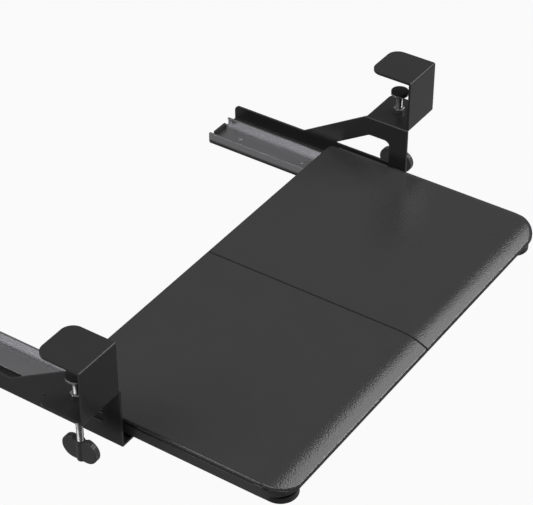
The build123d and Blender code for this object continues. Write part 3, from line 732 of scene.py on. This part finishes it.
panel_plastic = grained_finish(
    "panel plastic", colour=(0.035, 0.035, 0.036), roughness=0.13,
    pebbles=560.0, height=0.00013, level=0.32,
)
board_tree = panel_plastic.node_tree
board_grain = board_tree.nodes[PEBBLE_GRAIN.name]
board_mottle = board_tree.nodes[CLOUDY_MOTTLE.name].outputs
soft_rim = add_effect(panel_plastic, soft_rim_group(), {})
board_tree.links.new(soft_rim.outputs["Height"], board_grain.inputs["Form height"])
add_effect(
    panel_plastic, seam_dulling_and_painted_shade_group(),
    {"Colour": board_mottle["Colour"], "Roughness": board_mottle["Roughness"]},
)
for side in SIDES:
    dress(f"{side}_panel", f"{side}_tray_board", "tray", panel_plastic, BOARD_EDGE)

# Joining plates of black-coated steel strip, which tie the two boards together underneath,
# and the plain moulded dowels that line them up.
PLATE_EDGE = 0.0003
DOWEL_EDGE = 0.0004
for place in ("front", "rear"):
    dress(
        f"{place}_joining_plate", f"{place}_tie_plate", "tray", powder_coat,
        PLATE_EDGE,
    )
dress("seam_dowels", "board_dowels", "tray", beam_plastic, DOWEL_EDGE)

# Pale floor of the room, well below the tray. It is nearly white to the camera and much
# darker in reflections, takes the object's shadow, and is clear from below.
FLOOR_HEIGHT = -0.72
FLOOR_HALF = 6.0
FLOOR_COLOUR = (0.3, 0.3, 0.3, 1.0)
WHITE_TO_CAMERA = 0.94
WHITE_IN_GLOSS = 0.15


def background_share(tree, to_camera):
    """How much of the white background a ray sees: all of it, a part, or none."""
    rays = tree.nodes.new("ShaderNodeLightPath").outputs
    straight = worked(tree, "MAXIMUM", rays["Is Camera Ray"], rays["Is Transmission Ray"])
    seen = worked(tree, "MULTIPLY", straight, to_camera)
    share = worked(tree, "MULTIPLY_ADD", rays["Is Glossy Ray"], WHITE_IN_GLOSS, seen)
    share.node.use_clamp = True
    return share


def mixed(tree, share, first, second):
    """Two shaders mixed by the share of the second."""
    mix = tree.nodes.new("ShaderNodeMixShader")
    for socket, output in zip(mix.inputs, (share, first.outputs[0], second.outputs[0])):
        tree.links.new(output, socket)
    return mix


def floor_finish():
    """White to the camera, pale to everything else, clear from underneath."""
    material = bpy.data.materials.new("pale floor")
    material.use_nodes = True
    tree = material.node_tree
    tree.nodes.clear()
    pale = tree.nodes.new("ShaderNodeBsdfDiffuse")
    pale.inputs["Color"].default_value = FLOOR_COLOUR
    white = tree.nodes.new("ShaderNodeEmission")
    white.inputs["Strength"].default_value = 1.0
    above = mixed(tree, background_share(tree, WHITE_TO_CAMERA), pale, white)
    clear = tree.nodes.new("ShaderNodeBsdfTransparent")
    under = tree.nodes.new("ShaderNodeNewGeometry").outputs["Backfacing"]
    out = tree.nodes.new("ShaderNodeOutputMaterial")
    tree.links.new(mixed(tree, under, above, clear).outputs[0], out.inputs["Surface"])
    return material


floor_shape = bmesh.new()
bmesh.ops.create_grid(floor_shape, x_segments=1, y_segments=1, size=FLOOR_HALF)
bmesh.ops.translate(floor_shape, verts=floor_shape.verts, vec=(0, 0, FLOOR_HEIGHT))
floor = link_mesh(floor_shape, "floor")
floor.data.materials.append(floor_finish())

# Studio light: an even grey room, one large soft box beyond the right front corner whose edge
# shows halfway down the boards' slope, a bright low strip under it for the front lip and the
# bends, a soft box high behind on the left for the sides, and one overhead for the corners.
ROOM_COLOUR = (0.12, 0.12, 0.12, 1.0)
WHITE = (1.0, 1.0, 1.0, 1.0)
TRAY_MIDDLE = Vector((0.0, -0.08, -0.12))

world = bpy.data.worlds.new("studio room")
bpy.context.scene.world = world
world.use_nodes = True
room_tree = world.node_tree
room = room_tree.nodes["Background"]
room.inputs["Strength"].default_value = 1.0
room_colour = room_tree.nodes.new("ShaderNodeMix")
room_colour.data_type = "RGBA"
room_colour.inputs["A"].default_value = ROOM_COLOUR
room_colour.inputs["B"].default_value = WHITE
room_tree.links.new(background_share(room_tree, 1.0), room_colour.inputs["Factor"])
room_tree.links.new(room_colour.outputs["Result"], room.inputs["Color"])


def facing(place, direction):
    """Place and turn of a lamp or a camera that looks along a direction."""
    turn = Vector(direction).to_track_quat("-Z", "Y").to_matrix().to_4x4()
    return Matrix.Translation(place) @ turn


def soft_box(name, direction, distance, width, height, brightness):
    """A rectangular lamp that looks at the tray's middle from one direction."""
    lamp = bpy.data.lights.new(name, "AREA")
    lamp.shape = "RECTANGLE"
    lamp.size = width
    lamp.size_y = height
    lamp.energy = brightness * math.pi * width * height
    away = Vector(direction).normalized()
    holder = link_object(lamp, name)
    holder.matrix_world = facing(TRAY_MIDDLE + away * distance, -away)


soft_box(
    "front soft box", direction=(0.608, -0.415, 0.684), distance=3.4,
    width=2.18, height=1.75, brightness=4.7,
)
soft_box(
    "low strip", direction=(0.66, -0.62, 0.43), distance=3.0,
    width=1.2, height=0.5, brightness=10.0,
)
soft_box(
    "rear soft box", direction=(-0.61, 0.44, 0.66), distance=2.2,
    width=1.2, height=1.2, brightness=4.6,
)
soft_box(
    "top soft box", direction=(-0.1, -0.15, 0.98), distance=2.4,
    width=1.4, height=1.4, brightness=4.2,
)

# Camera where the photograph was taken from: above the front left corner, with a long lens.
CAMERA_PLACE = (-1.4413, -0.9595, 1.2515)
CAMERA_LOOK = (0.6596, 0.4441, -0.6063)
CAMERA_LENS = 129.13
CAMERA_SENSOR = 36.0
camera_data = bpy.data.cameras.new("photograph")
camera_data.lens = CAMERA_LENS
camera_data.sensor_width = CAMERA_SENSOR
camera = link_object(camera_data, "photograph")
camera.matrix_world = facing(CAMERA_PLACE, CAMERA_LOOK)
bpy.context.scene.camera = camera
bpy.context.scene.view_settings.view_transform = "Standard"
